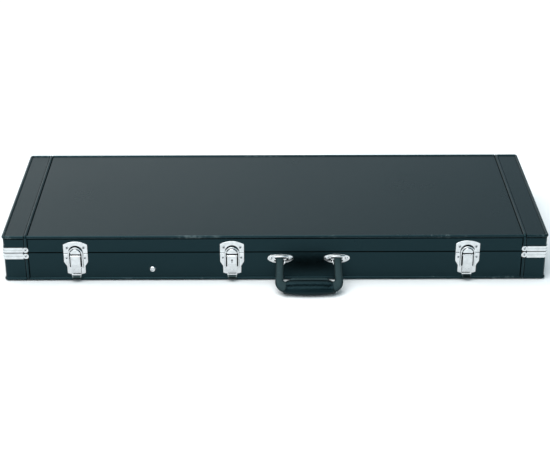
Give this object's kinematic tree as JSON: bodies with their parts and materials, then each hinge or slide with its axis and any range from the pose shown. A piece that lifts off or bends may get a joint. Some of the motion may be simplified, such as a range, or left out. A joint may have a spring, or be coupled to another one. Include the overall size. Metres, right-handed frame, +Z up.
{
  "type": "guitar case",
  "caption": "Rectangular hardshell case for an electric guitar: vinyl-covered plywood with piped edges, draw latches, corner clamps and a swinging padded handle.",
  "frame": {"origin": "centre of the flat bottom face of the vinyl covering, 3 mm above the ground that the piping stands on", "axes": "+X along the case towards the guitar's body, -Y is the front with the latches and the handle, +Z up through the lid"},
  "size_m": [1.0336, 0.4595, 0.096],
  "materials": {
    "chrome": "bright nickel-chrome plate",
    "handle_leatherette": "black leatherette, satin",
    "piping": "black vinyl piping cord, satin",
    "plush": "black short-pile plush",
    "plywood": "bare birch plywood",
    "rubber": "moulded black rubber",
    "vinyl": "fine-grained black vinyl cloth, satin"
  },
  "bodies": {
    "base": {"accessory_tray": "plywood", "base_corner_clamps": "chrome", "base_covering": "vinyl", "base_edge_piping": "piping", "base_end_cap_left": "vinyl", "base_end_cap_right": "vinyl", "base_end_piping": "piping", "base_floor_lining": "plush", "base_front_board": "plywood", "base_left_board": "plywood", "base_panel": "plywood", "base_rear_board": "plywood", "base_rear_feet": "rubber", "base_right_board": "plywood", "base_rivets": "chrome", "base_wall_lining": "plush", "body_cradle_front": "plush", "body_cradle_rear": "plush", "handle_bracket_left": "chrome", "handle_bracket_right": "chrome", "handle_bracket_screws": "chrome", "hinge_base_leaves": "chrome", "hinge_pins": "chrome", "latch_pins": "chrome", "latch_plate_centre": "chrome", "latch_plate_left": "chrome", "latch_plate_right": "chrome", "neck_rest": "plush", "side_cup_washer": "chrome", "side_screw": "chrome"},
    "lid": {"hinge_lid_leaves": "chrome", "latch_catch_centre": "chrome", "latch_catch_left": "chrome", "latch_catch_right": "chrome", "lid_corner_clamps": "chrome", "lid_covering": "vinyl", "lid_edge_piping": "piping", "lid_end_cap_left": "vinyl", "lid_end_cap_right": "vinyl", "lid_end_piping": "piping", "lid_front_board": "plywood", "lid_left_board": "plywood", "lid_lining": "plush", "lid_panel": "plywood", "lid_rear_board": "plywood", "lid_rear_feet": "rubber", "lid_right_board": "plywood", "lid_rivets": "chrome"},
    "lever_left": {"latch_lever_left": "chrome"},
    "bail_left": {"latch_bail_left": "chrome"},
    "lever_centre": {"latch_lever_centre": "chrome"},
    "bail_centre": {"latch_bail_centre": "chrome"},
    "lever_right": {"latch_lever_right": "chrome"},
    "bail_right": {"latch_bail_right": "chrome"},
    "lock_bolt": {"lock_bolt": "chrome"},
    "handle": {"handle_strap": "handle_leatherette", "handle_grip": "handle_leatherette", "handle_end_loops": "chrome"}
  },
  "joints": [
    {"name": "lid_hinge", "type": "hinge", "parent": "base", "child": "lid", "pos_m": [0, 0.1924, 0.057], "axis": [-1, 0, 0], "range_deg": [0, 100]},
    {"name": "lever_left_pivot", "type": "hinge", "parent": "base", "child": "lever_left", "pos_m": [-0.378, -0.1946, 0.0513], "axis": [-1, 0, 0], "range_deg": [0, 115]},
    {"name": "bail_left_pivot", "type": "hinge", "parent": "lever_left", "child": "bail_left", "pos_m": [-0.378, -0.1932, 0.0275], "axis": [-1, 0, 0], "range_deg": [-115, 0]},
    {"name": "lever_centre_pivot", "type": "hinge", "parent": "base", "child": "lever_centre", "pos_m": [-0.082, -0.1946, 0.0513], "axis": [-1, 0, 0], "range_deg": [0, 115]},
    {"name": "bail_centre_pivot", "type": "hinge", "parent": "lever_centre", "child": "bail_centre", "pos_m": [-0.082, -0.1932, 0.0275], "axis": [-1, 0, 0], "range_deg": [-115, 0]},
    {"name": "lever_right_pivot", "type": "hinge", "parent": "base", "child": "lever_right", "pos_m": [0.3645, -0.1946, 0.0513], "axis": [-1, 0, 0], "range_deg": [0, 115]},
    {"name": "bail_right_pivot", "type": "hinge", "parent": "lever_right", "child": "bail_right", "pos_m": [0.3645, -0.1932, 0.0275], "axis": [-1, 0, 0], "range_deg": [-115, 0]},
    {"name": "lock_bolt_slide", "type": "slide", "parent": "lever_centre", "child": "lock_bolt", "axis": [1, 0, 0], "range_m": [0, 0.0016]},
    {"name": "handle_swing", "type": "hinge", "parent": "base", "child": "handle", "pos_m": [0.0632, -0.1946, 0.0438], "axis": [-1, 0, 0], "range_deg": [-40, 60]}
  ],
  "couplings": [
    {"joint": "bail_left_pivot", "follows": "lever_left_pivot", "ratio": -1},
    {"joint": "bail_centre_pivot", "follows": "lever_centre_pivot", "ratio": -1},
    {"joint": "bail_right_pivot", "follows": "lever_right_pivot", "ratio": -1}
  ]
}
